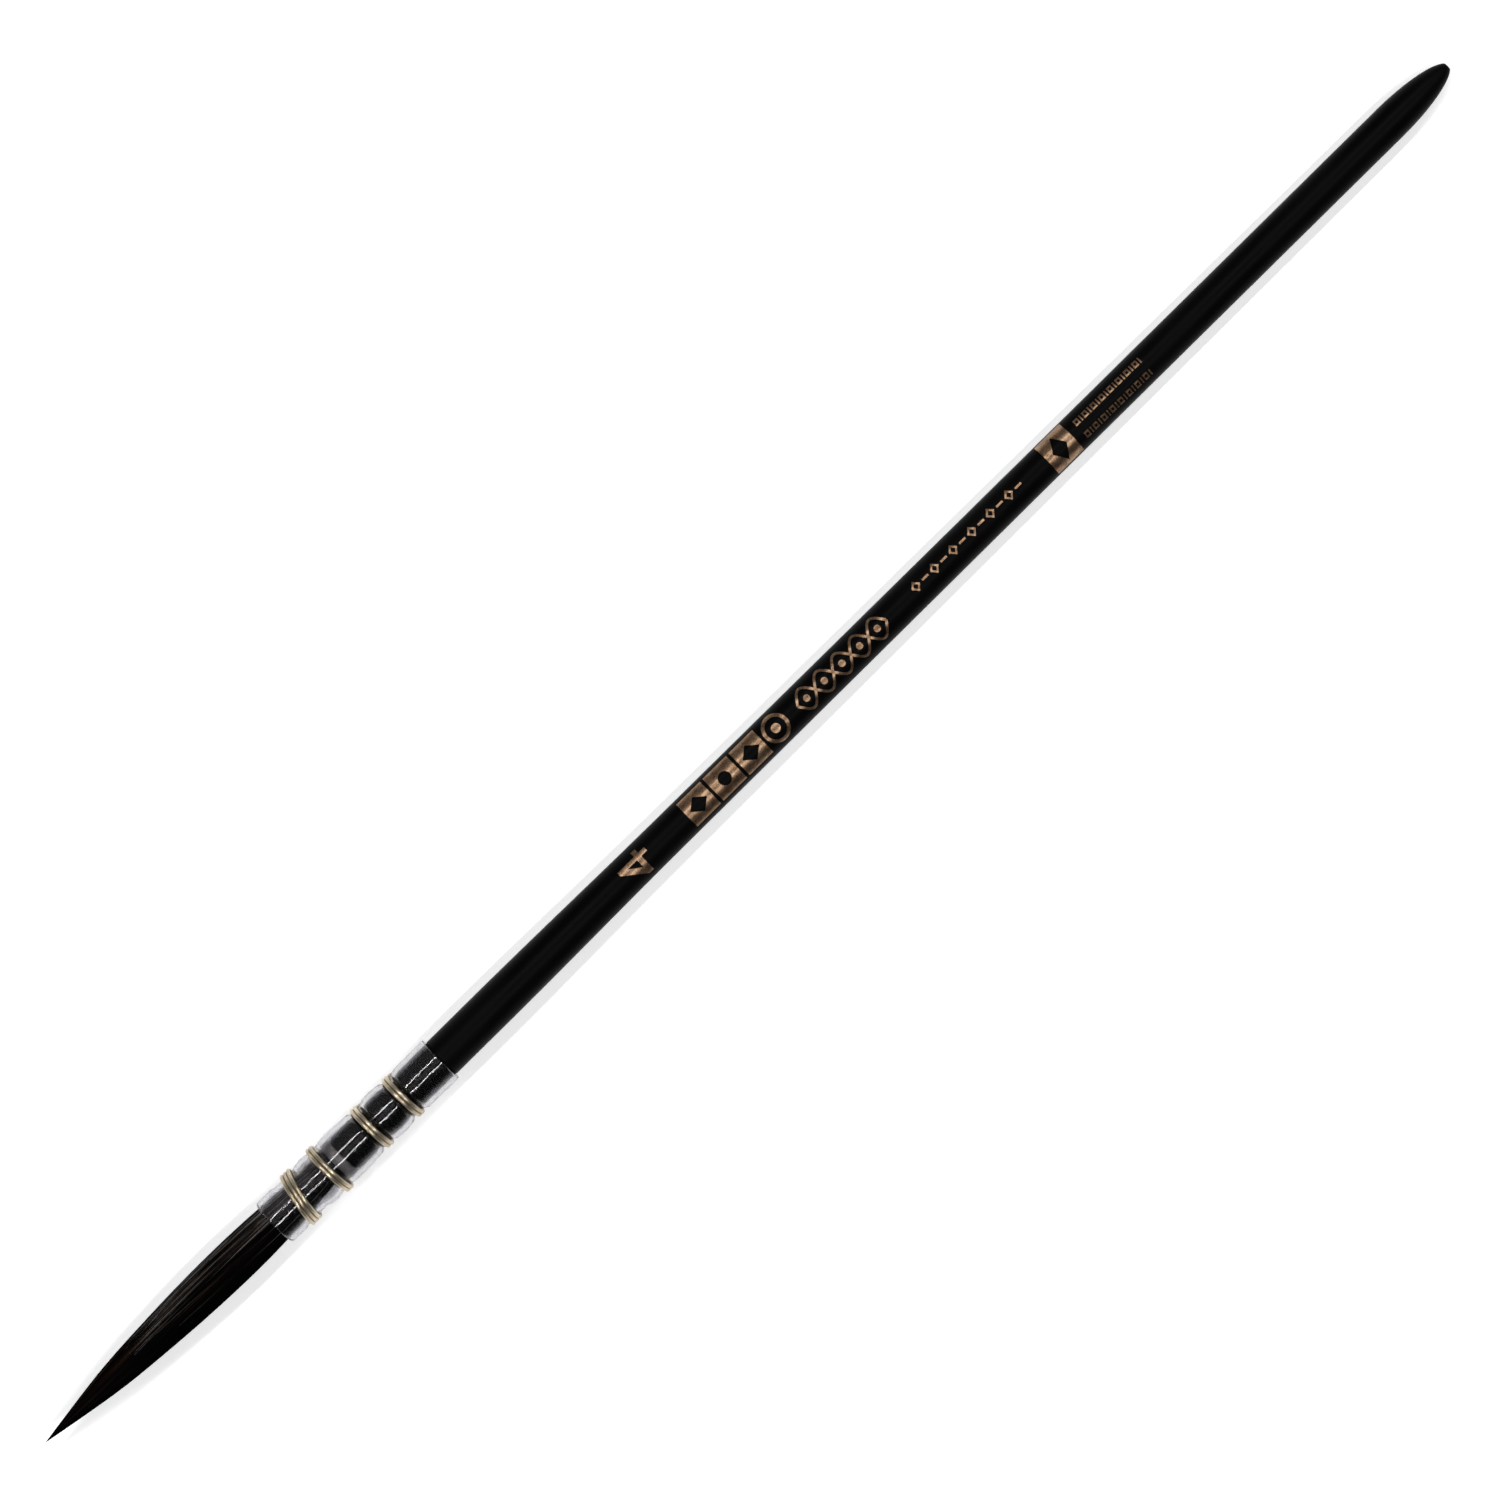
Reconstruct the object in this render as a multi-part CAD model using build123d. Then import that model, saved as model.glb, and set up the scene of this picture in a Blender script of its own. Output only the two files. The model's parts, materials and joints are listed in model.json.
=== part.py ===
from build123d import *
from dataclasses import dataclass
import os
from math import asin, atan2, cos, degrees, radians, sin, tan

# A quill-bound watercolour brush, in millimetres, lying on a table as it comes to rest there.
# Every piece is first built along +X on the brush's own axis, where X is the distance from the
# point of the hair. The finished pieces are then laid down together: the brush rests on its
# second wire binding and on the tail of its handle, which is thinner, so its axis dips slightly.

# ---- Handle ----
brush_length = 196.5
tenon_front_at = 41.4      # front end of the handle, inside the sleeve
grip_end_at = 62.2         # the handle is at its thickest from the sleeve to here
waist_at = 88.5            # end of the main taper
tail_at = 143.8            # from here to the rounded end the handle is a true cylinder
tenon_r = 2.1
grip_r = 2.175
waist_r = 1.965
tail_r = 1.9
rounding_length = 8.3      # half length of the ellipse that rounds the end
end_flat_r = 0.45          # small flat left by the lathe at the very end

# ---- Quill sleeve ----
mouth_at = 31.7            # front edge, where the hair comes out
sleeve_end_at = 55.0
sleeve_wall = 0.48
mouth_r = 2.68
sleeve_rear_r = 2.64
lip_rounding = 0.18

# ---- Wire bindings ----
wire_r = 0.215
turn_gap = 0.01            # between neighbouring turns
seat_gap = 0.05            # between a binding and the sleeve that it grips
twist_r = 0.42             # envelope of the two wire ends, twisted together
twist_length = 2.8
twist_angle = 40           # degrees round the brush from its underside, towards +Y


@dataclass
class Binding:
    middle: float          # station of its middle
    turns: int
    neck_r: float          # radius of the sleeve where it is drawn in beneath the wire
    shoulder_r: float      # radius of the sleeve just beside it
    lean: float = 0        # degrees: a leaning binding is further back on its +Y side

    def wound_r(self):
        """Radius to the middle of the wire."""
        return (self.neck_r + seat_gap + wire_r) / cos(radians(self.lean))

    def seat_half(self):
        """Half the length of sleeve that the wire covers."""
        return self.turns * wire_r + self.wound_r() * sin(radians(self.lean))


bindings = {
    "binding_wire_front": Binding(35.45, 3, 2.52, 2.68, lean=12),
    "binding_wire_second": Binding(39.45, 2, 2.6, 2.74),
    "binding_wire_third": Binding(45.4, 2, 2.3, 2.65),
    "binding_wire_rear": Binding(49.75, 2, 2.26, 2.62),
}
bulges = [(37.9, 2.78), (41.7, 2.77), (47.55, 2.72)]  # fullest points of the sleeve: station, radius

# ---- Hair ----
belly_at = 26.2            # station where the free hair is fullest
belly_r = 2.295
mouth_hair_r = 2.19
bend_at = 30.7             # pivot that stands for the bending of the free hair
bend_gap = 0.1             # between the free hair and the hair held in the sleeve
hair_lean = 0.8            # degrees that the free hair leans towards +Y at rest
root_r = 1.98
root_end_at = 40.3
thread_r = 0.08
thread_turns = 7
thread_at = 39.4           # middle of the thread's turns
plug_r = 2.06

# ---- How the brush lies ----
rounding_at = brush_length - rounding_length * cos(asin(end_flat_r / tail_r))
resting_binding = bindings["binding_wire_second"]
resting_r = resting_binding.wound_r() + wire_r
axis_dip = atan2(resting_r - tail_r, rounding_at - resting_binding.middle)
point_height = resting_binding.middle * sin(axis_dip) + resting_r * cos(axis_dip)


def turned(*edges):
    """Solid of revolution about the brush's axis, from an outline that closes along it."""
    return revolve(make_face(Wire(edges)), Axis.X)


def straight(*points):
    """Straight edges through (station, radius) points."""
    return Polyline(*points).edges()


def rod(start, end, radius):
    """Plain round bar along the brush's axis."""
    bar = Cylinder(radius, end - start, rotation=(0, 90, 0))
    return Pos((start + end) / 2, 0, 0) * bar


def wound_wire(section_r, wound_r, turns, pitch):
    """Right-handed coil about the brush's axis, centred on the origin, starting at the underside."""
    path = Helix(pitch, turns * pitch, wound_r)
    section = Plane(path @ 0, z_dir=path % 0) * Circle(section_r)
    coil = sweep(section, path, is_frenet=True)
    return Rot(0, 90, 0) * Pos(0, 0, -turns * pitch / 2) * coil


def handle():
    """Turned and lacquered handle: a grooved tenon, a slow taper and a rounded end."""
    chamfer_size = 0.3
    flank = 0.62           # length of each sloping side of a groove
    groove_gap = 0.06      # between a groove and the sleeve drawn into it
    shoulder_at = sleeve_end_at + 0.1
    tenon = [
        (tenon_front_at, 0),
        (tenon_front_at, tenon_r - chamfer_size),
        (tenon_front_at + chamfer_size, tenon_r),
    ]
    for name in ("binding_wire_third", "binding_wire_rear"):
        binding = bindings[name]
        floor_r = binding.neck_r - sleeve_wall - groove_gap
        floor_half = binding.seat_half() + groove_gap
        tenon += [
            (binding.middle - floor_half - flank, tenon_r),
            (binding.middle - floor_half, floor_r),
            (binding.middle + floor_half, floor_r),
            (binding.middle + floor_half + flank, tenon_r),
        ]
    tenon += [(shoulder_at, tenon_r), (shoulder_at, grip_r), (grip_end_at, grip_r)]
    taper = Spline((grip_end_at, grip_r), (waist_at, waist_r), tangents=[(1, 0), (1, 0)])
    body = straight((waist_at, waist_r), (tail_at, tail_r), (rounding_at, tail_r))
    cut_angle = degrees(asin(end_flat_r / tail_r))
    rounding = EllipticalCenterArc(
        (rounding_at, 0), rounding_length, tail_r, start_angle=cut_angle, arc_size=90 - cut_angle
    )
    end = straight((brush_length, end_flat_r), (brush_length, 0), (tenon_front_at, 0))
    return turned(*straight(*tenon), taper, *body, rounding, *end)


def sleeve_outline(inset):
    """The sleeve's outline front to back, inset from its outer surface by the given amount."""
    flank = 0.5            # length of each slope from a shoulder down to a neck
    corner_r = 0.5
    points = [(mouth_at, mouth_r), *bulges, (sleeve_end_at, sleeve_rear_r)]
    for binding in bindings.values():
        seat = binding.seat_half()
        points += [
            (binding.middle - seat - flank, binding.shoulder_r),
            (binding.middle - seat, binding.neck_r),
            (binding.middle + seat, binding.neck_r),
            (binding.middle + seat + flank, binding.shoulder_r),
        ]
    inset_points = [(station, radius - inset) for station, radius in sorted(points)]
    return FilletPolyline(*inset_points, radius=corner_r)


def quill_sleeve():
    """Clear plastic quill tube of even wall, squeezed in by its wire bindings."""
    outer = sleeve_outline(inset=0)
    inner = sleeve_outline(inset=sleeve_wall)
    front_rim = Line(inner @ 0, outer @ 0)
    rear_rim = Line(outer @ 1, inner @ 1)
    tube = turned(*outer.edges(), rear_rim, *inner.edges(), front_rim)
    ends = [tube.faces().sort_by(Axis.X)[0], tube.faces().sort_by(Axis.X)[-1]]
    rims = [edge for face in ends for edge in face.edges()]
    return fillet(rims, lip_rounding)


def binding_wire(binding):
    """Soft wire wound round the sleeve, its two ends twisted together and laid back along it."""
    coil = wound_wire(wire_r, binding.wound_r(), binding.turns, 2 * wire_r + turn_gap)
    crest_r = max(radius for _, radius in bulges)
    twist_height = crest_r + seat_gap + twist_r
    twist = rod(-twist_r, twist_length, twist_r)
    twist = fillet(twist.edges().filter_by(GeomType.CIRCLE), twist_r * 0.8)
    rise = twist_height - binding.wound_r() + wire_r / 2
    twist += Pos(0, 0, rise / 2) * Cylinder(twist_r * 0.75, rise)
    twist_shift = twist_height * sin(radians(twist_angle)) * tan(radians(binding.lean))
    around = Rot(twist_angle, 0, 0)
    leaning_coil = Rot(0, 0, -binding.lean) * around * coil
    laid_twist = Pos(twist_shift, 0, 0) * around * Pos(0, 0, -twist_height) * twist
    return Pos(binding.middle, 0, 0) * (leaning_coil + laid_twist)


def thread_half():
    """Half the length of the root thread's turns."""
    return thread_turns * thread_r


def hair_root():
    """The end of the hair bundle that the sleeve grips, hollowed in front for the free hair."""
    clear = 2 * thread_r
    root = rod(bend_at, root_end_at, root_r) - Pos(bend_at, 0, 0) * Sphere(mouth_hair_r + bend_gap)
    band = (thread_at - thread_half() - clear, thread_at + thread_half() + clear)
    return root - (rod(*band, 2 * root_r) - rod(*band, root_r - clear))


def root_thread():
    """Thread that ties the hair bundle near its root."""
    bite = root_r - 2 * thread_r
    gap = 0.01
    return Pos(thread_at, 0, 0) * wound_wire(
        thread_r, bite + gap + thread_r, thread_turns, 2 * thread_r + gap
    )


def root_resin():
    """Disc of set resin that seals the hair's root, just ahead of the handle's tenon."""
    return rod(root_end_at, tenon_front_at, plug_r)


def hair_tuft():
    """The free hair: a full belly drawn to a fine point, round at the back about its pivot."""
    point_to_belly = Bezier((0, 0), (belly_at / 2, belly_r), (belly_at, belly_r))
    belly_to_mouth = Bezier(
        (belly_at, belly_r), ((belly_at + bend_at) / 2, belly_r), (bend_at, mouth_hair_r)
    )
    back = CenterArc((bend_at, 0), mouth_hair_r, 90, -90)
    base = Line((bend_at + mouth_hair_r, 0), (0, 0))
    upright = turned(point_to_belly, belly_to_mouth, back, base)
    return Pos(bend_at, 0, 0) * Rot(0, 0, -hair_lean) * Pos(-bend_at, 0, 0) * upright


def lay_down(piece):
    """Move a finished piece from the brush's own axis to where the brush lies on the table."""
    centred = Pos(-brush_length / 2 * cos(axis_dip), 0, point_height)
    return centred * Rot(0, degrees(axis_dip), 0) * piece


pieces = {
    "handle": handle(),
    "quill_sleeve": quill_sleeve(),
    "hair_root": hair_root(),
    "root_thread": root_thread(),
    "root_resin": root_resin(),
    "hair_tuft": hair_tuft(),
}
for name, binding in bindings.items():
    pieces[name] = binding_wire(binding)

os.makedirs("parts", exist_ok=True)
for name, piece in pieces.items():
    export_step(lay_down(piece), f"parts/{name}.step")
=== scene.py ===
"""A quill-bound watercolour brush on a pale table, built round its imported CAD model.

Shapes are built in millimetres on the brush's own axis. X runs from the point of the hair to the
end of the handle, and Z points up. An angle round the axis starts at +Y and turns towards +Z. The
matrix `lie` lays the shapes where the CAD model lies, in metres.
"""
import json
import math
from dataclasses import dataclass

import bmesh
import bpy
import numpy as np
from mathutils import Matrix, Vector


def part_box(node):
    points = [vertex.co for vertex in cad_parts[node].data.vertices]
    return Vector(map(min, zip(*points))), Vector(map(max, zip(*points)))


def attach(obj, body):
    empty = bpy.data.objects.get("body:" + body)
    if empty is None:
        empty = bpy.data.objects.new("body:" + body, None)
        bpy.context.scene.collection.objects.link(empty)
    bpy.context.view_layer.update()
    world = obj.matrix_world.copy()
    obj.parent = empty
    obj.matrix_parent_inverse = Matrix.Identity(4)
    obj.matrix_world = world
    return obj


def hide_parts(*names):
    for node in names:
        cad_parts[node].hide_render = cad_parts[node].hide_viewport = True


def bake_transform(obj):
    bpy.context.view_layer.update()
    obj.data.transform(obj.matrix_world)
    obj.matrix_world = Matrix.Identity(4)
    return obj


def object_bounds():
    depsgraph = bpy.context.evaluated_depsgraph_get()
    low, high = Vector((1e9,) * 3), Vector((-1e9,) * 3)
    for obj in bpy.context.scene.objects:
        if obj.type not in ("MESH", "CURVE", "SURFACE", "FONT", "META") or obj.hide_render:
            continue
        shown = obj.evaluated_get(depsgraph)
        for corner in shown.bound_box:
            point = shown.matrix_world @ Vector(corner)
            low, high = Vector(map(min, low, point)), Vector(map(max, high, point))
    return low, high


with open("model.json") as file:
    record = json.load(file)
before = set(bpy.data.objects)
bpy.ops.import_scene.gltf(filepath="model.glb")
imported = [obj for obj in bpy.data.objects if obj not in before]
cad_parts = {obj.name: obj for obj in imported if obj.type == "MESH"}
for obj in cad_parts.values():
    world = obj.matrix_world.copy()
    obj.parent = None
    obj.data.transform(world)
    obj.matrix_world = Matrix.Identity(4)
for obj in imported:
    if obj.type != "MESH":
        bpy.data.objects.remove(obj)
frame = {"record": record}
cad_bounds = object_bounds()
scene = bpy.context.scene
rng = np.random.default_rng(4)

# ---------------------------------------------------------------- where the brush lies

mounts = {mount["name"]: mount for mount in frame["record"]["mounts"]}
tail_mount = mounts["handle_tail"]
along = Vector(tail_mount["axis"]).normalized()
across = Vector((0, 1, 0))
upward = along.cross(across)
mount_middle = Vector(tail_mount["pos_m"])
point_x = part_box("hair_tuft")[0].x
hair_point = mount_middle + along * (point_x - mount_middle.x) / along.x
lie = Matrix.Translation(hair_point) @ Matrix((along, across, upward)).transposed().to_4x4()
lie = lie @ Matrix.Scale(0.001, 4)


def span(node):
    """First and last station of a CAD node along the brush, in millimetres."""
    low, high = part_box(node)
    return [(corner.x - hair_point.x) / along.x * 1000 for corner in (low, high)]


# ---------------------------------------------------------------- sizes, in millimetres

end_clearance = 0.01         # keeps the handle's tilted end inside the CAD box
brush_length = span("handle")[1] - end_clearance
tenon_front_at = span("handle")[0]
mouth_at, sleeve_end_at = span("quill_sleeve")
root_end_at = span("root_resin")[0]
tail_r = tail_mount["dims"]["r_mm"]

tenon_r = 2.1
grip_r = 2.175
waist_r = 1.965
grip_end_at = 62.2
waist_at = 88.5
tail_at = 143.8
rounding_length = 8.3
end_flat_r = 0.45

sleeve_wall = 0.48
mouth_r = 2.68
sleeve_rear_r = 2.64
bulges = [(37.9, 2.78), (41.7, 2.77), (47.55, 2.72)]     # fullest points: station, radius
neck_flank = 0.7             # length of each slope of the sleeve beside a binding
groove_flank = 0.85          # length of each slope of a groove in the tenon

wire_r = 0.215
turn_pitch = 0.44
seat_gap = 0.02
twist_angle = math.radians(-50)          # where the wires' twisted ends lie, near the table
# name: (station of its middle, turns, sleeve radius beneath it, sleeve radius beside it, lean)
bindings = {
    "binding_wire_front": (35.45, 3, 2.52, 2.68, 12),
    "binding_wire_second": (39.45, 2, 2.6, 2.74, 0),
    "binding_wire_third": (45.4, 2, 2.3, 2.65, 0),
    "binding_wire_rear": (49.75, 2, 2.26, 2.62, 0),
}

belly_at = 26.2
belly_r = 2.295
bend_at = 30.7
hair_lean = math.radians(0.8)


def smooth(t):
    """Smooth step from 0 to 1."""
    t = np.clip(t, 0, 1)
    return t * t * (3 - 2 * t)


def through(points, station):
    """Radius at a station on a curve that runs level through each of the (station, radius) points."""
    for (start, start_r), (end, end_r) in zip(points, points[1:]):
        if station <= end:
            return start_r + (end_r - start_r) * float(smooth((station - start) / (end - start)))
    return points[-1][1]


# ---------------------------------------------------------------- mesh helpers


def finish_piece(mesh, name, material, body="brush"):
    """Lay a finished mesh down as a piece that rides on a body."""
    mesh.transform(lie)
    mesh.materials.clear()
    mesh.materials.append(material)
    mesh.polygons.foreach_set("use_smooth", [True] * len(mesh.polygons))
    piece = bpy.data.objects.new(name, mesh)
    scene.collection.objects.link(piece)
    if body:
        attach(piece, body)
    return piece


def mesh_of(name, points, faces):
    """Mesh of the given points and faces."""
    mesh = bpy.data.meshes.new(name)
    mesh.from_pydata([tuple(point) for point in points], [], faces)
    mesh.update()
    return mesh


def lathe(name, outline, sides, ripple=None):
    """Mesh turned from a closed outline of (station, radius); a radius of 0 is one point."""
    angles = [2 * math.pi * side / sides for side in range(sides)]
    points, rings = [], []
    for station, radius in outline:
        if radius == 0:
            rings.append([len(points)] * sides)
            points.append((station, 0, 0))
            continue
        rings.append(list(range(len(points), len(points) + sides)))
        for angle in angles:
            r = radius + (ripple(station, angle) if ripple else 0)
            points.append((station, r * math.cos(angle), r * math.sin(angle)))
    faces = []
    ends_on_axis = outline[0][1] == 0
    pairs = zip(rings, rings[1:] + ([] if ends_on_axis else rings[:1]))
    for low, high in pairs:
        for side in range(sides):
            after = (side + 1) % sides
            corners = [low[side], low[after], high[after], high[side]]
            faces.append(list(dict.fromkeys(corners)))
    return mesh_of(name, points, faces)


def wire_mesh(name, points, radius, roundness=5):
    """Round wire of even thickness whose middle runs smoothly by the given points."""
    curve = bpy.data.curves.new(name, "CURVE")
    curve.dimensions = "3D"
    spline = curve.splines.new("NURBS")
    spline.points.add(len(points) - 1)
    for control, point in zip(spline.points, points):
        control.co = (*point, 1)
    spline.order_u = 4
    spline.use_endpoint_u = True
    spline.resolution_u = 2
    curve.bevel_depth = radius
    curve.bevel_resolution = roundness
    curve.use_fill_caps = True
    holder = bpy.data.objects.new(name, curve)
    mesh = bpy.data.meshes.new_from_object(holder)
    bpy.data.objects.remove(holder)
    bpy.data.curves.remove(curve)
    weld(mesh)
    return mesh


def weld(mesh):
    """Join points that lie together, so that a wire's end caps are one with its side."""
    touching = 0.0002
    shape = bmesh.new()
    shape.from_mesh(mesh)
    bmesh.ops.remove_doubles(shape, verts=shape.verts, dist=touching)
    bmesh.ops.recalc_face_normals(shape, faces=shape.faces)
    shape.to_mesh(mesh)
    shape.free()


# ---------------------------------------------------------------- material helpers


def material_of(name):
    """A new material, its surface shader, and the functions that add and link its nodes."""
    material = bpy.data.materials.new(name)
    material.use_nodes = True
    nodes = material.node_tree.nodes
    shader = nodes["Principled BSDF"]

    def add(kind, **settings):
        node = nodes.new(kind)
        for key, value in settings.items():
            setattr(node, key, value)
        return node

    return material, shader, add, material.node_tree.links.new


def noise(add, link, scale, detail=3, stretch=(1, 1, 1)):
    """Noise in the piece's own space, with `scale` features to the millimetre."""
    place = add("ShaderNodeTexCoord")
    mapping = add("ShaderNodeMapping")
    mapping.inputs["Scale"].default_value = [1000 * scale * share for share in stretch]
    texture = add("ShaderNodeTexNoise")
    texture.inputs["Scale"].default_value = 1
    texture.inputs["Detail"].default_value = detail
    texture.inputs["Roughness"].default_value = 0.5
    link(place.outputs["Object"], mapping.inputs["Vector"])
    link(mapping.outputs["Vector"], texture.inputs["Vector"])
    return texture.outputs["Fac"]


def ramp(add, link, source, stops):
    """Colour ramp from a value; stops are (position, colour)."""
    node = add("ShaderNodeValToRGB")
    elements = node.color_ramp.elements
    while len(elements) < len(stops):
        elements.new(0.5)
    for element, (position, colour) in zip(elements, stops):
        element.position = position
        element.color = (*colour, 1)
    link(source, node.inputs["Fac"])
    return node.outputs["Color"]


def spread(add, link, source, low, high):
    """A value between low and high as the source goes from 0.3 to 0.7."""
    node = add("ShaderNodeMapRange")
    node.inputs["From Min"].default_value = 0.3
    node.inputs["From Max"].default_value = 0.7
    node.inputs["To Min"].default_value = low
    node.inputs["To Max"].default_value = high
    link(source, node.inputs["Value"])
    return node.outputs["Result"]


def bump(add, link, shader, height, depth_mm):
    """Bumps in the shader's surface, as deep as `depth_mm` where the height goes from 0 to 1."""
    node = add("ShaderNodeBump")
    node.inputs["Strength"].default_value = 1
    node.inputs["Distance"].default_value = depth_mm / 1000
    link(height, node.inputs["Height"])
    link(node.outputs["Normal"], shader.inputs["Normal"])


# ---------------------------------------------------------------- materials


def black_lacquer():
    """Satin black lacquer: nearly even, with faint ripples, dust specks and rubbed patches."""
    material, shader, add, link = material_of("black_lacquer")
    mottle = noise(add, link, 0.35, detail=4, stretch=(0.4, 1, 1))
    ripple = noise(add, link, 2.2, detail=2, stretch=(0.25, 1, 1))
    stops = [(0.3, (0.0008, 0.0008, 0.0009)), (0.7, (0.0018, 0.0017, 0.0016))]
    link(ramp(add, link, mottle, stops), shader.inputs["Base Color"])
    link(spread(add, link, mottle, 0.36, 0.46), shader.inputs["Roughness"])
    shader.inputs["Specular IOR Level"].default_value = 0.03
    bump(add, link, shader, ripple, 0.004)
    return material


def copper_foil():
    """Grainy hot-stamped copper foil, thin enough in places to let the lacquer darken it."""
    material, shader, add, link = material_of("copper_foil")
    grain = noise(add, link, 9, detail=4)
    worn = noise(add, link, 1.3, detail=3)
    mixed = add("ShaderNodeMix", data_type="FLOAT")
    mixed.inputs["Factor"].default_value = 0.4
    link(grain, mixed.inputs["A"])
    link(worn, mixed.inputs["B"])
    stops = [(0.34, (0.09, 0.052, 0.028)), (0.5, (0.24, 0.147, 0.087)), (0.66, (0.39, 0.262, 0.172))]
    link(ramp(add, link, mixed.outputs["Result"], stops), shader.inputs["Base Color"])
    link(spread(add, link, grain, 0.27, 0.37), shader.inputs["Roughness"])
    shader.inputs["Metallic"].default_value = 0.97
    bump(add, link, shader, grain, 0.006)
    return material


def clear_plastic():
    """Clear quill plastic with a slight lilac cast and a pebbled surface. It casts a faint shadow."""
    material, shader, add, link = material_of("clear_plastic")
    haze = noise(add, link, 0.8, detail=3)
    pebble = noise(add, link, 3.6, detail=1, stretch=(1, 0.6, 0.6))
    link(spread(add, link, pebble, 0.015, 0.16), shader.inputs["Roughness"])
    stops = [(0.3, (0.49, 0.482, 0.504)), (0.7, (0.57, 0.562, 0.582))]
    link(ramp(add, link, haze, stops), shader.inputs["Base Color"])
    shader.inputs["Transmission Weight"].default_value = 1
    shader.inputs["IOR"].default_value = 1.47
    bump(add, link, shader, pebble, 0.009)
    clear = add("ShaderNodeBsdfTransparent")
    clear.inputs["Color"].default_value = (0.87, 0.86, 0.89, 1)
    path = add("ShaderNodeLightPath")
    both = add("ShaderNodeMixShader")
    link(path.outputs["Is Shadow Ray"], both.inputs["Fac"])
    link(shader.outputs["BSDF"], both.inputs[1])
    link(clear.outputs["BSDF"], both.inputs[2])
    output = material.node_tree.nodes["Material Output"]
    link(both.outputs["Shader"], output.inputs["Surface"])
    return material


def binding_metal():
    """Soft drawn wire, pale brass gone slightly grey, with fine drawing marks."""
    material, shader, add, link = material_of("binding_wire")
    tarnish = noise(add, link, 0.9, detail=3)
    grain = noise(add, link, 12, detail=3)
    stops = [(0.3, (0.33, 0.27, 0.185)), (0.5, (0.44, 0.375, 0.27)), (0.7, (0.58, 0.505, 0.38))]
    link(ramp(add, link, tarnish, stops), shader.inputs["Base Color"])
    link(spread(add, link, tarnish, 0.36, 0.27), shader.inputs["Roughness"])
    shader.inputs["Metallic"].default_value = 1
    bump(add, link, shader, grain, 0.003)
    return material


def hair_material(name, stops, shine):
    """Fine hair whose strands each take their own tint from the stops."""
    material, shader, add, link = material_of(name)
    tint = add("ShaderNodeAttribute", attribute_name="strand_tint")
    link(ramp(add, link, tint.outputs["Fac"], stops), shader.inputs["Base Color"])
    rough = noise(add, link, 1.2, detail=3, stretch=(0.3, 1, 1))
    link(spread(add, link, rough, 0.28, 0.42), shader.inputs["Roughness"])
    shader.inputs["Specular IOR Level"].default_value = shine
    scales = noise(add, link, 10, detail=2, stretch=(0.1, 1, 1))
    bump(add, link, shader, scales, 0.002)
    return material


def black_hair():
    """Nearly black hair, which makes up most of the tuft."""
    dark, middling, light = (0.0003, 0.0003, 0.0003), (0.002, 0.0014, 0.0012), (0.02, 0.017, 0.016)
    stops = [(0.0, dark), (0.5, middling), (1.0, light)]
    return hair_material("dark_hair", stops, shine=0.008)


def brown_hair():
    """Dark hair with a reddish tinge."""
    dark, middling, light = (0.0005, 0.0003, 0.0003), (0.008, 0.003, 0.002), (0.045, 0.026, 0.019)
    stops = [(0.0, dark), (0.4, middling), (1.0, light)]
    return hair_material("brown_hair", stops, shine=0.012)


def painted_highlight_hair():
    """Single light-grey hairs among the dark ones: painted highlight streaks where the hair catches
    light.
    """
    stops = [(0.0, (0.002, 0.0015, 0.0013)), (0.5, (0.06, 0.053, 0.047)), (1.0, (0.22, 0.21, 0.2))]
    return hair_material("painted_highlight_hair", stops, shine=0.03)


def hair_shade():
    """The dark depth of the bundle between its outer hairs."""
    material, shader, add, link = material_of("hair_depth")
    streak = noise(add, link, 5, detail=3, stretch=(0.04, 1, 1))
    stops = [(0.35, (0.0008, 0.0008, 0.0008)), (0.65, (0.003, 0.0022, 0.002))]
    link(ramp(add, link, streak, stops), shader.inputs["Base Color"])
    link(spread(add, link, streak, 0.5, 0.7), shader.inputs["Roughness"])
    shader.inputs["Specular IOR Level"].default_value = 0.004
    bump(add, link, shader, streak, 0.03)
    return material


def set_resin():
    """Grey-brown set resin, cloudy and slightly glossy."""
    material, shader, add, link = material_of("set_resin")
    cloud = noise(add, link, 1.1, detail=4)
    stops = [(0.3, (0.06, 0.056, 0.05)), (0.7, (0.16, 0.15, 0.14))]
    link(ramp(add, link, cloud, stops), shader.inputs["Base Color"])
    link(spread(add, link, cloud, 0.3, 0.5), shader.inputs["Roughness"])
    bump(add, link, shader, cloud, 0.03)
    return material


def waxed_thread():
    """Black waxed thread."""
    material, shader, add, link = material_of("black_thread")
    fibre = noise(add, link, 9, detail=3)
    stops = [(0.3, (0.004, 0.004, 0.004)), (0.7, (0.02, 0.018, 0.018))]
    link(ramp(add, link, fibre, stops), shader.inputs["Base Color"])
    link(spread(add, link, fibre, 0.45, 0.7), shader.inputs["Roughness"])
    bump(add, link, shader, fibre, 0.01)
    return material


def pale_table():
    """Plain pale table top."""
    material, shader, add, link = material_of("pale_table")
    grain = noise(add, link, 0.15, detail=3)
    stops = [(0.3, (0.88, 0.88, 0.88)), (0.7, (0.9, 0.9, 0.9))]
    link(ramp(add, link, grain, stops), shader.inputs["Base Color"])
    link(spread(add, link, grain, 0.7, 0.8), shader.inputs["Roughness"])
    shader.inputs["Specular IOR Level"].default_value = 0.2
    shader.inputs["Emission Color"].default_value = (1, 1, 1, 1)
    shader.inputs["Emission Strength"].default_value = 0.35
    return material


# ---------------------------------------------------------------- handle


def stations(start, end, step):
    """Evenly spaced stations from start to end, about one step apart."""
    count = max(2, round((end - start) / step) + 1)
    return [float(station) for station in np.linspace(start, end, count)]


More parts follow.
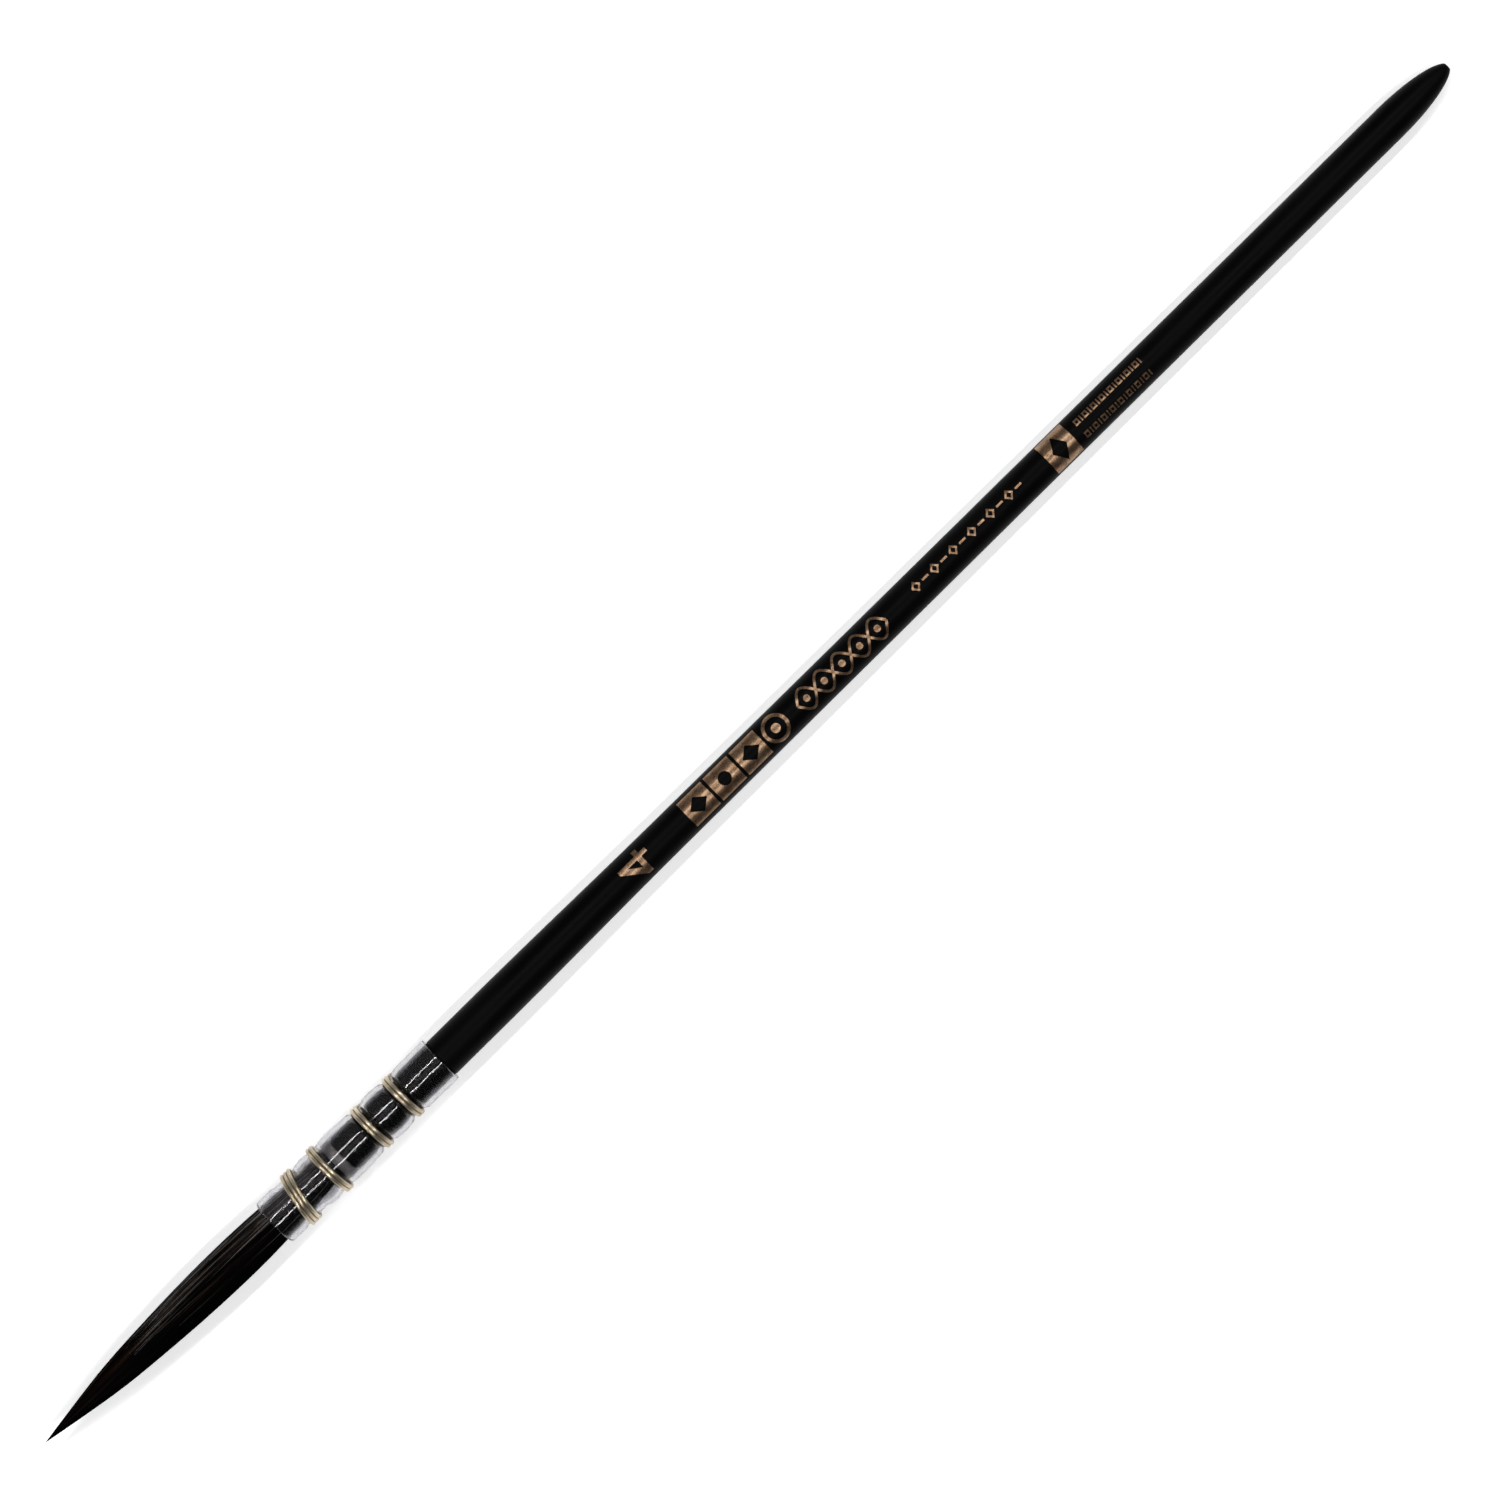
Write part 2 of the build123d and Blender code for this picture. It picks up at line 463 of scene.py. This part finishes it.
def handle_radius(station):
    """Radius of the lacquered handle behind the sleeve, up to its rounded end."""
    if station < grip_end_at:
        return grip_r
    if station < waist_at:
        share = (station - grip_end_at) / (waist_at - grip_end_at)
        return grip_r + (waist_r - grip_r) * float(smooth(share))
    if station < tail_at:
        return waist_r + (tail_r - waist_r) * (station - waist_at) / (tail_at - waist_at)
    return tail_r


def tenon_outline():
    """The tenon inside the sleeve, with a groove under each of the two rear bindings."""
    chamfer_size = 0.3
    groove_gap = 0.06
    step = 0.1
    outline = [(tenon_front_at, 0), (tenon_front_at, tenon_r - chamfer_size)]
    outline += [(tenon_front_at + chamfer_size, tenon_r)]
    for name in ("binding_wire_third", "binding_wire_rear"):
        middle, turns, neck_r, _, _ = bindings[name]
        floor_half = turns * wire_r + groove_gap
        points = [
            (middle - floor_half - groove_flank, tenon_r),
            (middle - floor_half, neck_r - sleeve_wall - groove_gap),
            (middle + floor_half, neck_r - sleeve_wall - groove_gap),
            (middle + floor_half + groove_flank, tenon_r),
        ]
        outline += [(s, through(points, s)) for s in stations(points[0][0], points[-1][0], step)]
    return outline


def handle():
    """Turned wooden handle under black lacquer, from its tenon to its rounded end."""
    edge = 0.04                  # small rounding of sharp turned edges
    shoulder_gap = 0.1
    step = 0.8
    shoulder_at = sleeve_end_at + shoulder_gap
    shoulder = [(shoulder_at, tenon_r), (shoulder_at + edge, grip_r)]
    last_angle = math.asin(end_flat_r / tail_r)
    rounding_at = brush_length - rounding_length * math.cos(last_angle)
    body = [(s, handle_radius(s)) for s in stations(shoulder_at + 3 * edge, rounding_at, step)]
    end = []
    for angle in np.linspace(math.pi / 2, last_angle, 28)[1:]:
        end.append((rounding_at + rounding_length * math.cos(angle), tail_r * math.sin(angle)))
    end += [(brush_length, end_flat_r - edge), (brush_length, 0)]
    mesh = lathe("handle_lacquered", tenon_outline() + shoulder + body + end, sides=96)
    piece = finish_piece(mesh, "handle_lacquered", black_lacquer())
    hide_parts("handle")


# ---------------------------------------------------------------- foil ornaments on the handle


def oval(station, y, half_length, half_height, corners=40):
    """Loop of points round an oval, as seen from above."""
    angles = [2 * math.pi * corner / corners for corner in range(corners)]
    return [(station + half_length * math.cos(a), y + half_height * math.sin(a)) for a in angles]


def diamond(station, y, half_length, half_height):
    """Loop round a diamond: an oval with four corners."""
    return oval(station, y, half_length, half_height, corners=4)


def block(start, end, bottom, top):
    """Loop round a rectangle."""
    return [(start, bottom), (end, bottom), (end, top), (start, top)]


def size_number():
    """A 4 that reads with the point of the brush upwards."""
    top, bar_start, bar_end, foot = 80.65, 82.95, 83.55, 84.35
    right, stem_right, stem_left, left = 1.3, 0.8, 0.36, -1.42
    counter_left, counter_top = -0.62, 81.65
    outline = [
        (top, stem_right), (bar_start, stem_right), (bar_start, right), (bar_end, right),
        (bar_end, stem_right), (foot, stem_right), (foot, stem_left), (bar_end, stem_left),
        (bar_end, left), (bar_start, left), (top, stem_left),
    ]
    counter = [(bar_start, stem_left), (bar_start, counter_left), (counter_top, stem_left)]
    return [outline, counter]


def bold_tiles():
    """Three solid tiles, each with a shape cut out of it, and a ring with a dot after them."""
    first, tile_length, gap = 89.6, 3.3, 0.36
    bottom, top = -1.48, 1.55
    middle_y = (bottom + top) / 2
    dot_r = 0.72
    loops = []
    for index in range(3):
        start = first + index * (tile_length + gap)
        middle = start + tile_length / 2
        loops.append(block(start, start + tile_length, bottom, top))
        if index == 1:
            loops.append(oval(middle, middle_y, dot_r, dot_r))
        else:
            loops.append(diamond(middle, middle_y, 1.15, 0.95))
    ring_at, ring_y = 102.05, 0.03
    return loops + [oval(ring_at, ring_y, r, r) for r in (1.5, 1.14, 0.5)]


def wave_chain():
    """Two thin waves that cross each other, with a dot in each eye between them."""
    start, eyes, eye_length = 105.1, 5, 2.47
    swing, half_width = 1.2, 0.13
    dot_r = 0.36
    steps = 16                   # in each eye
    loops = []
    for side in (1, -1):
        upper, lower = [], []
        for step in range(eyes * steps + 1):
            turn = math.pi * step / steps
            station = start + eye_length * step / steps
            slope = side * swing * math.cos(turn) * math.pi / eye_length
            length = math.hypot(1, slope)
            y = side * swing * math.sin(turn)
            upper.append((station - slope / length * half_width, y + half_width / length))
            lower.append((station + slope / length * half_width, y - half_width / length))
        loops.append([upper + lower[::-1]])
    dots = [oval(start + eye_length * (eye + 0.5), 0, dot_r, dot_r) for eye in range(eyes)]
    return *loops, dots


def small_row():
    """Open diamonds and short bars in turn."""
    first, pitch, count, y = 121.9, 1.3, 12, 0.28
    half_bar, half_height = 0.42, 0.11
    loops = []
    for index in range(count):
        station = first + index * pitch
        if index % 2:
            ends = (station - half_bar, station + half_bar)
            loops.append(block(*ends, y - half_height, y + half_height))
        else:
            loops += [diamond(station, y, 0.56, 0.62), diamond(station, y, 0.3, 0.33)]
    return loops


def end_panel():
    """A panel over the side of the handle with a lozenge cut out of it."""
    return [block(140.05, 143.55, -1.74, 1.78), diamond(141.8, 0.0, 0.95, 1.45)]


def fine_rows():
    """Two rows of small open squares and bars in turn."""
    first, pitch, count = 144.85, 1.17, 8
    half_height, hole_half_height = 0.32, 0.14
    half_length, hole_half_length = 0.3, 0.13
    bar_from, bar_to = 0.5, 0.67
    loops = []
    for y in (0.7, -0.9):
        bottom, top = y - half_height, y + half_height
        for index in range(count):
            station = first + pitch * index
            hole_ends = (station - hole_half_length, station + hole_half_length)
            loops.append(block(station - half_length, station + half_length, bottom, top))
            loops.append(block(*hole_ends, y - hole_half_height, y + hole_half_height))
            loops.append(block(station + bar_from, station + bar_to, bottom, top))
    return loops


def flat_fill(name, loops):
    """Flat mesh filled between closed loops of (station, y)."""
    curve = bpy.data.curves.new(name, "CURVE")
    curve.dimensions = "2D"
    curve.fill_mode = "BOTH"
    for loop in loops:
        spline = curve.splines.new("POLY")
        spline.points.add(len(loop) - 1)
        for control, (station, y) in zip(spline.points, loop):
            control.co = (station, y, 0, 1)
        spline.use_cyclic_u = True
    holder = bpy.data.objects.new(name, curve)
    mesh = bpy.data.meshes.new_from_object(holder)
    bpy.data.objects.remove(holder)
    bpy.data.curves.remove(curve)
    return mesh


def foil(name, loops, material):
    """Foil cut to the loops and pressed straight down on the round handle."""
    height, depth = 0.008, 0.016         # of its top above the lacquer, and of its edges
    last_fold, fold_every = 75, 5        # degrees round the handle between its flat strips
    touching = 0.0005
    shape = bmesh.new()
    shape.from_mesh(flat_fill(name, loops))
    for degrees in range(-last_fold, last_fold + 1, fold_every):
        y = tail_r * math.sin(math.radians(degrees))
        everything = shape.verts[:] + shape.edges[:] + shape.faces[:]
        bmesh.ops.bisect_plane(shape, geom=everything, plane_co=(0, y, 0), plane_no=(0, 1, 0))
    bmesh.ops.triangulate(shape, faces=shape.faces)
    bmesh.ops.remove_doubles(shape, verts=shape.verts, dist=touching)
    bmesh.ops.recalc_face_normals(shape, faces=shape.faces)
    upward_faces = sum(face.normal.z * face.calc_area() for face in shape.faces) > 0
    if not upward_faces:
        bmesh.ops.reverse_faces(shape, faces=shape.faces)
    pressed = bmesh.ops.extrude_face_region(shape, geom=shape.faces[:])
    top = {item for item in pressed["geom"] if isinstance(item, bmesh.types.BMVert)}
    for vertex in shape.verts:
        radius = handle_radius(vertex.co.x) + height - (0 if vertex in top else depth)
        turn = math.asin(vertex.co.y / handle_radius(vertex.co.x))
        vertex.co = (vertex.co.x, radius * math.sin(turn), radius * math.cos(turn))
    bmesh.ops.recalc_face_normals(shape, faces=shape.faces)
    mesh = bpy.data.meshes.new(name)
    shape.to_mesh(mesh)
    shape.free()
    finish_piece(mesh, name, material)
    mesh.polygons.foreach_set("use_smooth", [False] * len(mesh.polygons))


def ornaments():
    """All the foil on the handle, one piece for each ornament."""
    material = copper_foil()
    wave_a, wave_b, dots = wave_chain()
    pieces = {
        "foil_size_number": size_number(),
        "foil_tiles": bold_tiles(),
        "foil_wave_a": wave_a,
        "foil_wave_b": wave_b,
        "foil_wave_dots": dots,
        "foil_small_row": small_row(),
        "foil_end_panel": end_panel(),
        "foil_fine_rows": fine_rows(),
    }
    for name, loops in pieces.items():
        foil(name, loops, material)


# ---------------------------------------------------------------- quill sleeve and what it holds


def sleeve_outline():
    """Outer (station, radius) points of the sleeve, drawn in beneath each binding."""
    points = [(mouth_at, mouth_r), *bulges, (sleeve_end_at, sleeve_rear_r)]
    for middle, turns, neck_r, shoulder_r, lean in bindings.values():
        seat = turns * wire_r + neck_r * math.sin(math.radians(lean))
        points += [
            (middle - seat - neck_flank, shoulder_r),
            (middle - seat, neck_r),
            (middle + seat, neck_r),
            (middle + seat + neck_flank, shoulder_r),
        ]
    return sorted(points)


def quill_sleeve():
    """Clear tube of even wall with a rounded mouth and a sharper rear rim."""
    points = sleeve_outline()
    mouth_lip = 0.33
    rear_lip = 0.05
    step = 0.1
    outer_stations = stations(mouth_at + mouth_lip, sleeve_end_at - rear_lip, step)
    outer = [(s, through(points, s)) for s in outer_stations]
    inner = [(s, radius - sleeve_wall) for s, radius in reversed(outer)]

    def rim(end, depth, start):
        """Rounded rim of the tube: half a turn about the middle of its wall, at one end."""
        station, radius = end
        half_wall = sleeve_wall / 2
        points = []
        for eighth in range(1, 8):
            angle = start - math.pi * eighth / 8
            across = radius - half_wall + half_wall * math.sin(angle)
            points.append((station + depth * math.cos(angle), across))
        return points

    def ripple(station, angle):
        """Slight unevenness of the drawn tube."""
        return 0.006 * math.sin(1.9 * station + 2 * angle) + 0.004 * math.sin(4.3 * station - 3 * angle)

    rear_rim = rim(outer[-1], rear_lip, math.pi / 2)
    mouth_rim = rim(outer[0], mouth_lip, -math.pi / 2)
    mesh = lathe("quill_sleeve_clear", outer + rear_rim + inner + mouth_rim, sides=112, ripple=ripple)
    piece = finish_piece(mesh, "quill_sleeve_clear", clear_plastic())
    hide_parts("quill_sleeve")


def root_resin():
    """Disc of resin between the hair and the tenon, a little uneven round its edge."""
    plug_r = 2.18
    gap = 0.02
    front, rear = root_end_at + gap, tenon_front_at - gap
    rounding = 0.12
    outline = [(front, 0), (front, plug_r - 3 * rounding), (front + rounding / 3, plug_r - rounding)]
    outline += [(front + rounding, plug_r), (rear - rounding, plug_r), (rear, plug_r - rounding)]
    outline += [(rear, 0)]

    def ripple(station, angle):
        waves = 0.025 * math.sin(3 * angle + station) + 0.015 * math.sin(7 * angle - 2 * station)
        return waves - 0.03

    mesh = lathe("root_resin_plug", outline, sides=72, ripple=ripple)
    piece = finish_piece(mesh, "root_resin_plug", set_resin())
    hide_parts("root_resin")


def root_thread():
    """Thread wound round the hair near its root, biting into it."""
    first, last = span("root_thread")
    root_r = 1.95
    thread_r = 0.08
    turns = 7
    steps = 24                   # in each turn
    bite_r = root_r - thread_r / 2
    points = []
    for step in range(turns * steps + 1):
        angle = 2 * math.pi * step / steps
        station = first + thread_r + (last - first - 2 * thread_r) * step / (turns * steps)
        points.append((station, bite_r * math.cos(angle), bite_r * math.sin(angle)))
    mesh = wire_mesh("root_thread_wound", points, thread_r, roundness=3)
    piece = finish_piece(mesh, "root_thread_wound", waxed_thread())
    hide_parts("root_thread")


def binding(name, material):
    """One wire: its coil, and its two ends twisted together and laid back along the sleeve."""
    middle, turns, neck_r, _, lean = bindings[name]
    slope = math.tan(math.radians(lean))
    coil_r = neck_r + seat_gap + wire_r
    free = math.radians(26)      # where the coil ends and its leads lift off, each side
    crest_r = max(radius for _, radius in bulges)
    twist_r = crest_r + 2 * wire_r
    lead_length = 0.35
    lead_aside = 1.8 * wire_r
    twist_from = turns * wire_r + lead_length
    twist_to = 2.55
    twist_turns = 1.9
    steps = 36                   # in each turn of the coil

    def on_coil(angle):
        """Point of the coil at an angle measured from the twist."""
        station = turn_pitch * (angle / (2 * math.pi) - turns / 2)
        y = coil_r * math.cos(angle + twist_angle)
        z = coil_r * math.sin(angle + twist_angle)
        return Vector((middle + station + y * slope, y, z))

    outward = Vector((0, math.cos(twist_angle), math.sin(twist_angle)))
    sideways = Vector((0, -math.sin(twist_angle), math.cos(twist_angle)))
    lean_shift = coil_r * math.cos(twist_angle) * slope

    def in_twist(share, side):
        """Point of one wire in the twist; share runs from its start to its cut end."""
        turn = math.pi / 2 * side + 2 * math.pi * twist_turns * share
        station = twist_from + (twist_to - twist_from) * share
        middle_line = Vector((middle + lean_shift + station, 0, 0)) + outward * twist_r
        return middle_line + wire_r * (outward * math.cos(turn) + sideways * math.sin(turn))

    def lead(side):
        """Where a lead lifts over the turns between the coil and the twist."""
        over = Vector((middle + lean_shift + twist_from / 3, 0, 0)) + outward * (twist_r + wire_r / 2)
        return over + sideways * side * lead_aside

    shares = np.linspace(0, 1, 30)
    coil_angles = np.linspace(free, 2 * math.pi * turns - free, steps * turns)
    points = [in_twist(share, 1) for share in reversed(shares)]
    points += [lead(1)]
    points += [on_coil(angle) for angle in coil_angles]
    points += [lead(-1)]
    points += [in_twist(share, -1) for share in shares]
    mesh = wire_mesh(name + "_wound", points, wire_r)
    piece = finish_piece(mesh, name + "_wound", material)
    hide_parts(name)


# ---------------------------------------------------------------- hair


def bundle_radius(station):
    """Radius of the hair bundle, from its point through the belly and into the sleeve."""
    fullness = 2.02              # 2 is a plain parabola from the point to the belly
    swell, swell_at, swell_length = 0.09, 9.5, 4.2
    narrowing = 0.0052           # behind the belly, to the square millimetre
    held_r = 2.14
    wall_gap = 0.07
    free = belly_r * (1 - np.abs(1 - station / belly_at) ** fullness)
    free = free + swell * np.exp(-(((station - swell_at) / swell_length) ** 2))
    behind = belly_r - narrowing * (station - belly_at) ** 2
    radius = np.where(station < belly_at, free, behind)
    wall = np.interp(station, *zip(*sleeve_outline())) - sleeve_wall
    held = np.minimum(np.minimum(behind, held_r), wall - wall_gap)
    return np.where(station < mouth_at, np.maximum(radius, 0), held)


def leaned(points):
    """The points, with those of the free hair leaning slightly to one side from its pivot on."""
    points = points.copy()
    forward = np.maximum(bend_at - points[:, 0], 0)
    points[:, 1] += forward * math.tan(hair_lean)
    return points


def strand_faces(steps, sides):
    """Faces of one strand: its sides and its two closed ends."""
    faces = []
    for step in range(steps - 1):
        for side in range(sides):
            after = (side + 1) % sides
            low, high = step * sides, (step + 1) * sides
            faces.append((low + side, low + after, high + after, high + side))
    last = (steps - 1) * sides
    faces.append(tuple(reversed(range(sides))))
    faces.append(tuple(range(last, last + sides)))
    return faces


def strand_points(station, turn, radius, width, sides):
    """Rings of points round a strand that runs at an angle and a radius about the brush's axis."""
    radius = np.maximum(radius - width, 0)
    centre = np.stack([station, radius * np.cos(turn), radius * np.sin(turn)], 1)
    out = np.stack([0 * station, np.cos(turn), np.sin(turn)], 1)
    aside = np.stack([0 * station, -np.sin(turn), np.cos(turn)], 1)
    rings = []
    for side in range(sides):
        angle = 2 * math.pi * side / sides
        offset = math.cos(angle) * out + math.sin(angle) * aside
        rings.append(centre + width[:, None] * offset)
    return leaned(np.stack(rings, 1).reshape(-1, 3))


@dataclass
class Lock:
    """What the hairs of one lock have in common, with angles in radians."""
    angle: float
    share: float                 # of the bundle's radius
    tint: float
    turning: float               # how far it drifts round the bundle
    wave: float
    phase: float


def new_lock(angle, depth, tints, drift):
    """A lock at an angle, the rest of it drawn at random."""
    waviness = 0.012
    return Lock(
        angle=angle,
        share=rng.uniform(*depth),
        tint=rng.uniform(*tints),
        turning=rng.normal(0, drift),
        wave=rng.normal(0, waviness),
        phase=rng.uniform(0, 2 * math.pi),
    )


def hair_turn(lock, station, lock_width):
    """Angle of one hair at each station: the path of its lock, with small departures of its own."""
    lock_pace, own_pace = 0.4, 0.9       # radians of wave to the millimetre
    own_wave = 0.006
    spread_out = np.clip(station / belly_at, 0, 1)
    turn = lock.angle + lock.turning * (station / belly_at - 1)
    turn = turn + lock.wave * np.sin(station * lock_pace + lock.phase) * spread_out
    turn = turn + rng.normal(0, lock_width / belly_r)
    departure = rng.normal(0, own_wave) * np.sin(station * own_pace + rng.uniform(0, 6))
    return turn + departure * spread_out


def hair_tint(lock, station):
    """Tint of one hair at each station: painted glints and shade that come and go along it as it
    catches light, and a little lighter in the sleeve.
    """
    glint_pace = 0.36                    # radians to the millimetre
    unevenness = 0.05
    inside_tint, inside_length = 0.2, 6
    catching_light = (0.5 + 0.5 * np.sin(station * glint_pace + 4 * lock.phase)) ** 1.5
    tint = (lock.tint + rng.normal(0, unevenness)) * catching_light
    inside = inside_tint * smooth((station - mouth_at) / inside_length)
    return np.clip(tint + inside, 0, 1)


def hair_of(lock, first_tip, lock_width, hair_width, steps, sides):
    """Points of one tapering hair of a lock, and its tint at each of them."""
    furthest_tip = 6.0
    root_gap = 0.1
    crowding = 1.4               # above 1, stations lie closer together near the tip
    sinking = 0.012
    taper_length, tip_share = 7, 0.12
    start = first_tip + min(rng.exponential(0.3 + first_tip / 4), furthest_tip)
    reach = np.linspace(0, 1, steps) ** crowding
    station = start + (root_end_at - root_gap - start) * reach
    turn = hair_turn(lock, station, lock_width)
    radius = bundle_radius(station) * (lock.share + rng.uniform(-sinking, 0.0))
    taper = np.clip((station - start) / taper_length + tip_share, 0, 1) ** 0.8
    widest = 0.01 + 0.6 * bundle_radius(station)
    width = np.minimum(rng.uniform(*hair_width) * taper, widest)
    points = strand_points(station, turn, radius, width, sides)
    return points, np.repeat(hair_tint(lock, station), sides)


def locks(name, angles, hairs, first_tip, depth, lock_width, hair_width, tints, drift, material):
    """A lock of a few hairs at each angle. Its hairs share one tint and one path.

    Each hair ends in a fine point, at `first_tip` from the point of the brush or some way behind it.
    """
    steps, sides = 26, 4
    one_strand = strand_faces(steps, sides)
    all_points, all_faces, all_tints = [], [], []
    for angle in angles:
        lock = new_lock(angle, depth, tints, drift)
        for _ in range(hairs):
            points, point_tints = hair_of(lock, first_tip, lock_width, hair_width, steps, sides)
            offset = len(all_points) * steps * sides
            all_faces += [tuple(offset + corner for corner in face) for face in one_strand]
            all_points.append(points)
            all_tints.append(point_tints)
    mesh = mesh_of(name, np.concatenate(all_points), all_faces)
    attribute = mesh.attributes.new("strand_tint", "FLOAT", "POINT")
    attribute.data.foreach_set("value", np.concatenate(all_tints).astype(np.float32))
    piece = finish_piece(mesh, name, material, body=None)
    bend_with_tuft(piece)


def bend_with_tuft(piece):
    """Bake the piece's place in the scene into its mesh."""
    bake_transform(piece)


def hair_core():
    """The dark mass inside the hair, closed at both ends."""
    point, first, last = 0.15, 0.5, root_end_at - 0.2
    step = 0.4
    outline = [(point, 0)]
    for station in stations(first, last, step):
        share = 0.95 - 0.07 * float(smooth(station / 6))
        outline.append((station, float(bundle_radius(np.array(station))) * share))
    outline.append((last, 0))
    mesh = lathe("hair_core", outline, sides=48)
    points = np.array([vertex.co for vertex in mesh.vertices])
    mesh.vertices.foreach_set("co", leaned(points).ravel())
    core = finish_piece(mesh, "hair_core", hair_shade(), body=None)
    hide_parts("hair_tuft", "hair_root")
    bend_with_tuft(core)


def all_round(count):
    """Angles spread evenly round the bundle, each moved a little."""
    return [2 * math.pi * (lock + rng.uniform(-0.8, 0.8)) / count for lock in range(count)]


def mostly_on_lit_side(count):
    """Angles scattered round the bundle, most of them on its upper side towards +Y, where the light
    falls; locks drawn at these angles make that side lighter, as painted light.
    """
    share_on_lit_side = 0.78
    middle, scatter = 0.85, 0.42
    angles = []
    for _ in range(count):
        if rng.random() < share_on_lit_side:
            angles.append(rng.normal(middle, scatter))
        else:
            angles.append(rng.uniform(0, 6.28))
    return angles


def hair():
    """The whole tuft: its dark core, three layers of dark locks, and single light hairs that are
    painted highlight streaks.
    """
    hair_core()
    black, brown, grey = black_hair(), brown_hair(), painted_highlight_hair()
    under = dict(first_tip=0.3, depth=(0.88, 0.95), lock_width=0.06, hair_width=(0.026, 0.04))
    over = dict(depth=(0.93, 0.995), lock_width=0.045, hair_width=(0.022, 0.036))
    fine = dict(first_tip=12, depth=(0.985, 1.005), lock_width=0.025, hair_width=(0.018, 0.03))
    locks("hair_under", all_round(110), 8, tints=(0, 0.4), drift=0.04, material=black, **under)
    locks("hair_over_a", all_round(120), 7, 0.0, tints=(0, 0.6), drift=0.06, material=black, **over)
    # Brown locks lie mostly on the upper +Y side, where the light falls: painted sheen. Their reddish
    # tinge is the hair's own.
    locks("hair_over_b", mostly_on_lit_side(90), 7, 2.0, tints=(0, 0.7), drift=0.08, material=brown, **over)
    # Light-grey hairs: painted highlight streaks, mostly on the upper +Y side where the light falls.
    locks("hair_painted_highlights", mostly_on_lit_side(56), 1, tints=(0.05, 1.2), drift=0.2, material=grey, **fine)


# ---------------------------------------------------------------- stage, in metres and watts


def table_top():
    """Wide flat table under the brush."""
    half = 2.0
    corners = [(-half, -half, 0), (half, -half, 0), (half, half, 0), (-half, half, 0)]
    mesh = mesh_of("table_top", corners, [(0, 1, 2, 3)])
    mesh.materials.append(pale_table())
    table = bpy.data.objects.new("table_top", mesh)
    scene.collection.objects.link(table)


def strip_light(name, lean_degrees, width, power):
    """Long soft light above the table, parallel to the brush, leaning over to one side of it."""
    length = 1.8
    distance = 0.6
    lamp = bpy.data.lights.new(name, "AREA")
    lamp.shape = "RECTANGLE"
    lamp.size = length
    lamp.size_y = width
    lamp.energy = power
    strip = bpy.data.objects.new(name, lamp)
    lean = math.radians(lean_degrees)
    strip.location = (0, distance * math.sin(lean), distance * math.cos(lean))
    strip.rotation_euler = (-lean, 0, 0)
    scene.collection.objects.link(strip)


def studio():
    """A pale backdrop that darkens overhead, two strips over the brush and two softer lights."""
    world = bpy.data.worlds.new("studio")
    world.use_nodes = True
    nodes = world.node_tree.nodes
    link = world.node_tree.links.new
    direction = nodes.new("ShaderNodeTexCoord")
    height = nodes.new("ShaderNodeSeparateXYZ")
    link(direction.outputs["Generated"], height.inputs["Vector"])
    stops = [(0.03, (0.6, 0.605, 0.62)), (0.22, (0.035, 0.035, 0.037))]
    backdrop = ramp(nodes.new, link, height.outputs["Z"], stops)
    link(backdrop, nodes["Background"].inputs["Color"])
    scene.world = world
    strip_light("strip_back", 21.4, 0.03, 3.6)
    strip_light("strip_front", -15.8, 0.03, 3.3)
    strip_light("soft_above", 3, 0.16, 0.26)
    strip_light("soft_back", 52, 0.45, 0.42)


def camera():
    """Straight down on the brush, which runs from lower left to upper right of the picture."""
    lens = 120
    sensor = 36
    picture_width = 0.1499
    tilt = math.radians(44.6)
    data = bpy.data.cameras.new("camera")
    data.lens = lens
    data.sensor_width = sensor
    view = bpy.data.objects.new("camera", data)
    low, high = cad_bounds
    centre = (low + high) / 2
    aside = 0.00013              # the brush lies a little off the middle of the picture
    above = 0.0005
    right = Vector((math.cos(tilt), -math.sin(tilt), 0))
    up = Vector((math.sin(tilt), math.cos(tilt), 0))
    distance = picture_width * lens / sensor
    view.location = centre + right * aside + up * above + Vector((0, 0, distance))
    view.rotation_euler = (0, 0, -tilt)
    scene.collection.objects.link(view)
    scene.camera = view


scene.view_settings.view_transform = "Standard"
camera()
studio()
table_top()
handle()
ornaments()
quill_sleeve()
root_resin()
root_thread()
wire_metal = binding_metal()
for binding_name in bindings:
    binding(binding_name, wire_metal)
hair()
